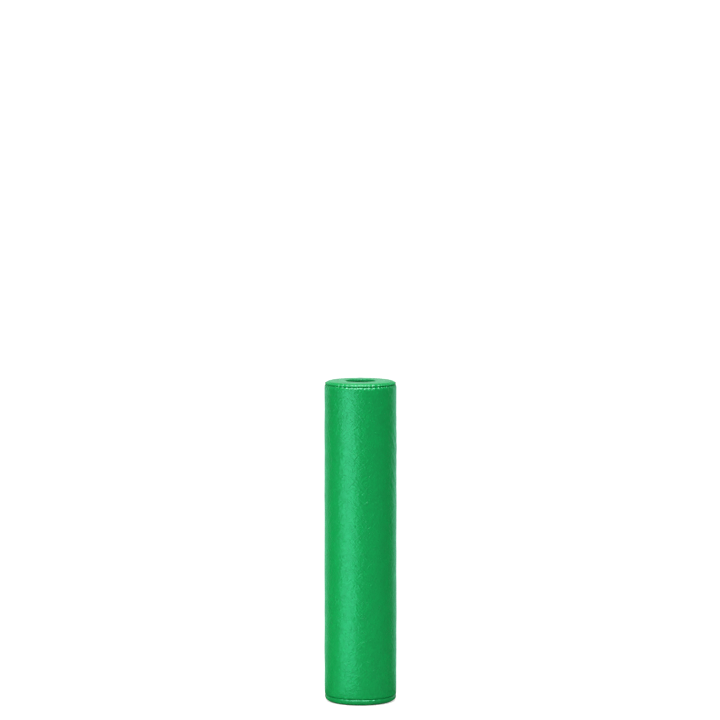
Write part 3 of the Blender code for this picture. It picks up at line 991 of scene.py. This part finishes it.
def flatSheet(low, high, columns, rows, corners, extraColumns=(), extraRows=()):
    # a sheet in the XZ plane, with a map in metres; corners are the radii at its low and high X side
    form = bmesh.new()
    size = Vector((high[0] - low[0], high[1] - low[1], 1.0))
    middle = Vector(((low[0] + high[0]) / 2, 0.0, (low[1] + high[1]) / 2))
    turned = Matrix.Translation(middle) @ Matrix.Rotation(pi / 2, 4, "X") @ Matrix.Diagonal(size.to_4d())
    bmesh.ops.create_grid(form, x_segments=columns, y_segments=rows, size=0.5, matrix=turned)
    curve = [max(corners) * (1 - cos(radians(step))) for step in (18, 32, 45, 58, 70, 80, 90)]
    cutsUp = [low[1] + c for c in curve] + [high[1] - c for c in curve] + list(extraRows)
    for place, direction in [((0, 0, z), (0, 0, 1)) for z in cutsUp] + [((x, 0, 0), (1, 0, 0)) for x in extraColumns]:
        bmesh.ops.bisect_plane(form, geom=form.verts[:] + form.edges[:] + form.faces[:], dist=0.0002,
                               plane_co=place, plane_no=direction)
    for vertex in form.verts:
        away = max(min(vertex.co.z - low[1], high[1] - vertex.co.z), 0.0)
        share = (vertex.co.x - low[0]) / size.x
        left, right = (cornerInset(radius, away) for radius in corners)
        vertex.co.x = low[0] + left + share * (size.x - left - right)
    layMap(form, lambda vertex, face: (vertex.co.x, vertex.co.z))
    return form


def cornerInset(radius, away):
    return radius - sqrt(radius ** 2 - (radius - away) ** 2) if away < radius else 0.0


# A facing panel closes the foam on each side of the slit.
facing = {
    "inner": 0.0872,
    "outer": 0.1950,
    "low": 0.0012,
    "high": 1.8298,
    "corners": (0.003, 0.028),
    "face": 0.00005,
    "hollow": 0.00025,      # how far its middle draws away from the slit
}


def facingForm(side):
    form = flatSheet((facing["inner"], facing["low"]), (facing["outer"], facing["high"]), 22, 183, facing["corners"])
    for vertex in form.verts:
        ends = min(vertex.co.z - facing["low"], facing["high"] - vertex.co.z,
                   vertex.co.x - facing["inner"], facing["outer"] - vertex.co.x)
        soft = 0.5 + 0.5 * noiseAt(vertex.co.x * 26, side * 7.0, vertex.co.z * 14)
        depth = facing["hollow"] * soft * smoothStep(0.004, 0.02, ends)
        vertex.co = (side * (facing["face"] + depth), vertex.co.x, vertex.co.z)
    return faceAlong(form, lambda face: -side * face.normal.x)


for side, hand in ((-1, "Left"), (1, "Right")):
    part = makePiece("slitFacing" + hand, facingForm(side), vinyl)
    giveThickness(part, pad["vinyl"], 0.0002)
    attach(part, hand.lower() + "_half")
    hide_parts("slit_panel_" + hand.lower())
print("pad: slit facings made")

# The closure flap is two layers of vinyl, sewn down on the right of the slit and laid over the tapes.
flap = {
    "free": -0.056,
    "sewn": 0.05215,
    "low": 0.0424,
    "high": 1.7979,
    "landing": 0.1966,      # underside, where it lies on the cover
    "lift": 0.0036,         # higher over the tapes
    "step": (0.002, 0.014),
    "thickness": 0.0016,
    "corners": (0.012, 0.003),
    "stitchInset": 0.006,
    "stitchRows": (-0.0512, -0.0038, 0.034, 0.048),
    "sink": 0.00030,        # of the stitched lines
    "sinkWidth": 0.0016,
    "bend": (0.030, 0.0),
}


def flapSection(across):
    return flap["landing"] + flap["lift"] * (1 - smoothStep(*flap["step"], across))


def flapForm():
    rows = flap["stitchRows"]
    beside = (-flap["sinkWidth"], 0.0, flap["sinkWidth"])
    extra = [row + offset for row in rows for offset in beside]
    ends = [end + turn * (flap["stitchInset"] + offset) for end, turn in ((flap["low"], 1), (flap["high"], -1))
            for offset in beside]
    form = flatSheet((flap["free"], flap["low"]), (flap["sewn"], flap["high"]), 30, 175, flap["corners"], extra, ends)
    for vertex in form.verts:
        across, up = vertex.co.x, vertex.co.z
        away = min(abs(across - row) for row in rows)
        away = min(away, abs(min(up - flap["low"], flap["high"] - up) - flap["stitchInset"]))
        sink = flap["sink"] * max(0.0, 1 - away / flap["sinkWidth"])
        vertex.co.y = flapSection(across) + flap["thickness"] - sink
    return faceAlong(form, lambda face: face.normal.y)


closureFlap = giveThickness(makePiece("closureFlap", flapForm(), vinyl), flap["thickness"] - flap["sink"], 0.0004)
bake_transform(closureFlap, "right_half", "closure_flap", start=(flap["bend"][0], 0.0, 0.0), end=(flap["bend"][1], 0.0, 0.0))
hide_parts("flap_panel", "flap_hem")
print("pad: flap made")

# Hook and loop tapes are ribbons with a thin selvage and a raised field.
tape = {
    "left": -0.0525,
    "right": -0.0025,
    "low": 0.0464,
    "high": 1.7939,
    "rows": 170,
    "selvage": 0.0025,
    "web": 0.0007,
    "slope": 0.0006,
    "hookBack": 0.1966,
    "hookFace": 0.1981,
    "loopBack": 0.1999,
    "loopFace": 0.1984,
    "hooks": {"dark": (0.004, 0.0045, 0.0045, 1.0), "pale": (0.016, 0.018, 0.018, 1.0), "pitch": 0.0016,
              "depth": 0.0007, "lively": 0.12},
    "loops": {"dark": (0.006, 0.0065, 0.0065, 1.0), "pale": (0.024, 0.026, 0.026, 1.0), "pitch": 0.0011,
              "depth": 0.0005, "lively": 0.9},
}


def tapeForm(back, face):
    # the section is drawn as a closed line with its heights up Z, pulled along Y and then stood up
    edge = back + copysign(tape["web"], face - back)
    left, right = tape["left"], tape["right"]
    inLeft, inRight = left + tape["selvage"], right - tape["selvage"]
    section = Section((left, back))
    for place, steps in (((left, edge), 1), ((inLeft, edge), 1), ((inLeft + tape["slope"], face), 1),
                         ((inRight - tape["slope"], face), 6), ((inRight, edge), 1), ((right, edge), 1),
                         ((right, back), 1), ((left, back), 4)):
        section.line(place, steps)
    form, rows = section.form, tape["rows"]
    bmesh.ops.spin(form, geom=form.verts[:] + form.edges[:], dvec=(0.0, (tape["low"] - tape["high"]) / rows, 0.0),
                   angle=0.0, steps=rows, axis=(0, 0, 1), cent=(0, 0, 0))
    run = form.verts.layers.float["run"]
    layMap(form, lambda vertex, _: (vertex[run], -vertex.co.y))
    bmesh.ops.remove_doubles(form, verts=form.verts, dist=0.00001)
    bmesh.ops.holes_fill(form, edges=[e for e in form.edges if e.is_boundary], sides=0)
    bmesh.ops.rotate(form, verts=form.verts, cent=(0, 0, 0), matrix=Matrix.Rotation(-pi / 2, 3, "X"))
    bmesh.ops.translate(form, verts=form.verts, vec=(0.0, 0.0, tape["low"]))
    bmesh.ops.recalc_face_normals(form, faces=form.faces)
    return form


def makeTapeLook(name, look):
    material, tree = startMaterial(name, Roughness=0.9, Specular_IOR_Level=0.25, Sheen_Weight=0.35,
                                   Sheen_Roughness=0.45)
    panel = tree.panel()
    sockets = {"Vector": panel, "Scale": 1.0 / look["pitch"], "Randomness": look["lively"]}
    loops = tree.add("TexVoronoi", sockets, voronoi_dimensions="2D")
    tufts = tree.range(loops.outputs["Distance"], 0.15, 0.6, 1.0, 0.0)
    fuzz = tree.noise(panel, look["pitch"] * 0.35, 4.0, 1.5)
    height = tree.math("ADD", tufts, tree.math("MULTIPLY", fuzz, 0.6))
    # painted shade and highlight: paler on the tufts' tops and darker in the hollows between them, by the bump's height
    tree.paint(Base_Color=tree.mix(tree.range(height, 0.3, 1.3), look["dark"], look["pale"]),
               Normal=tree.bump(height, look["depth"]))
    return material


for name, back, face, look, body, node in (
        ("hookTape", tape["hookBack"], tape["hookFace"], tape["hooks"], "left_half", "hook_strip"),
        ("loopTape", tape["loopBack"], tape["loopFace"], tape["loops"], "closure_flap", "loop_strip")):
    part = makePiece(name, tapeForm(back, face), makeTapeLook(name, look))
    part.data.set_sharp_from_angle(angle=radians(40))
    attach(part, body)
    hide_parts(node)
print("pad: tapes made")

# Thread: rows of single stitches, half sunk in the vinyl.
thread = {
    "pitch": 0.0045,
    "size": (0.00030, 0.00022, 0.00150),    # half width, half height, half length
    "proud": 0.00008,
    "tapeEnds": 0.003,
    "green": (0.0008, 0.250, 0.050, 1.0),
    "black": (0.006, 0.006, 0.006, 1.0),
}


def stitchRow(form, start, end):
    # runs from one place to another, in the XZ plane, and is copied whole until it is long enough
    start, end = Vector(start), Vector(end)
    steps = round((end - start).length / thread["pitch"])
    stride = (end - start) / steps
    lean = Vector((0.0, 0.0, 1.0)).rotation_difference(stride).to_matrix().to_4x4()
    width, height, length = thread["size"]
    turned = Matrix.Translation(start + stride / 2) @ lean @ Matrix.Diagonal((width, height, length, 1.0))
    row = bmesh.ops.create_uvsphere(form, u_segments=6, v_segments=4, radius=1.0, matrix=turned)["verts"]
    each, count = len(row), 1
    while count < steps:
        verts = row[:each * min(count, steps - count)]
        geom = verts + linked(verts, "link_edges") + linked(verts, "link_faces")
        copied = bmesh.ops.duplicate(form, geom=geom)["geom"]
        more = [element for element in copied if isinstance(element, bmesh.types.BMVert)]
        bmesh.ops.translate(form, verts=more, vec=stride * count)
        row += more
        count = len(row) // each


def makeThread(name, color):
    material, tree = startMaterial(name, Roughness=0.55, Specular_IOR_Level=0.4, Base_Color=color)
    place = tree.place()
    twist = tree.add("TexWave", {"Vector": place, "Scale": 700.0, "Distortion": 0.6}, bands_direction="DIAGONAL")
    tree.paint(Normal=tree.bump(twist.outputs["Fac"], 0.0001))
    return material


def flapStitches():
    form = bmesh.new()
    low, high = flap["low"] + flap["stitchInset"], flap["high"] - flap["stitchInset"]
    for row in flap["stitchRows"]:
        stitchRow(form, (row, 0.0, low), (row, 0.0, high))
    for level in (low, high):
        stitchRow(form, (flap["stitchRows"][0], 0.0, level), (flap["stitchRows"][-1], 0.0, level))
    for vertex in form.verts:
        vertex.co.y += flapSection(vertex.co.x) + flap["thickness"] - flap["sink"] + thread["proud"]
    return form


def tapeStitches(level):
    form = bmesh.new()
    for row in (tape["left"] + tape["selvage"] / 2, tape["right"] - tape["selvage"] / 2):
        stitchRow(form, (row, level, tape["low"] + thread["tapeEnds"]), (row, level, tape["high"] - thread["tapeEnds"]))
    return form


greenThread, blackThread = makeThread("greenThread", thread["green"]), makeThread("blackThread", thread["black"])
part = makePiece("flapStitches", flapStitches(), greenThread)
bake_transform(part, "right_half", "closure_flap", start=(flap["bend"][0], 0.0, 0.0), end=(flap["bend"][1], 0.0, 0.0))
for name, level, body, slotName in (("hookStitches", tape["hookBack"] + tape["web"], "left_half", "hook_tape"),
                                    ("loopStitches", tape["loopBack"] - tape["web"], "closure_flap", "loop_tape")):
    part = makePiece(name, tapeStitches(level), blackThread)
    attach(part, body)
print("pad: stitches made")

# Brass for the vent eyelets and their washers, which stay as the solids make them.
brassLook = {
    "bright": (0.55, 0.355, 0.088, 1.0),
    "tarnished": (0.30, 0.165, 0.045, 1.0),
    "tarnishSize": 0.004,
    "roughness": (0.24, 0.42),
    "grainSize": 0.0012,
    "grainDepth": 0.00004,
}


def makeBrass(look):
    material, tree = startMaterial("brass", Metallic=1.0)
    place = tree.place()
    tarnish = tree.range(tree.noise(place, look["tarnishSize"], 4.0, 0.5), 0.42, 0.68)
    tree.paint(Base_Color=tree.mix(tarnish, look["bright"], look["tarnished"]),
               Roughness=tree.range(tarnish, 0.0, 1.0, *look["roughness"]),
               Normal=tree.bump(tree.noise(place, look["grainSize"]), look["grainDepth"]))
    return material


brass = makeBrass(brassLook)
for name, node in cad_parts.items():
    if name.startswith("vent_"):
        for holder in node.material_slots:
            holder.material = brass
print("pad: brass given")
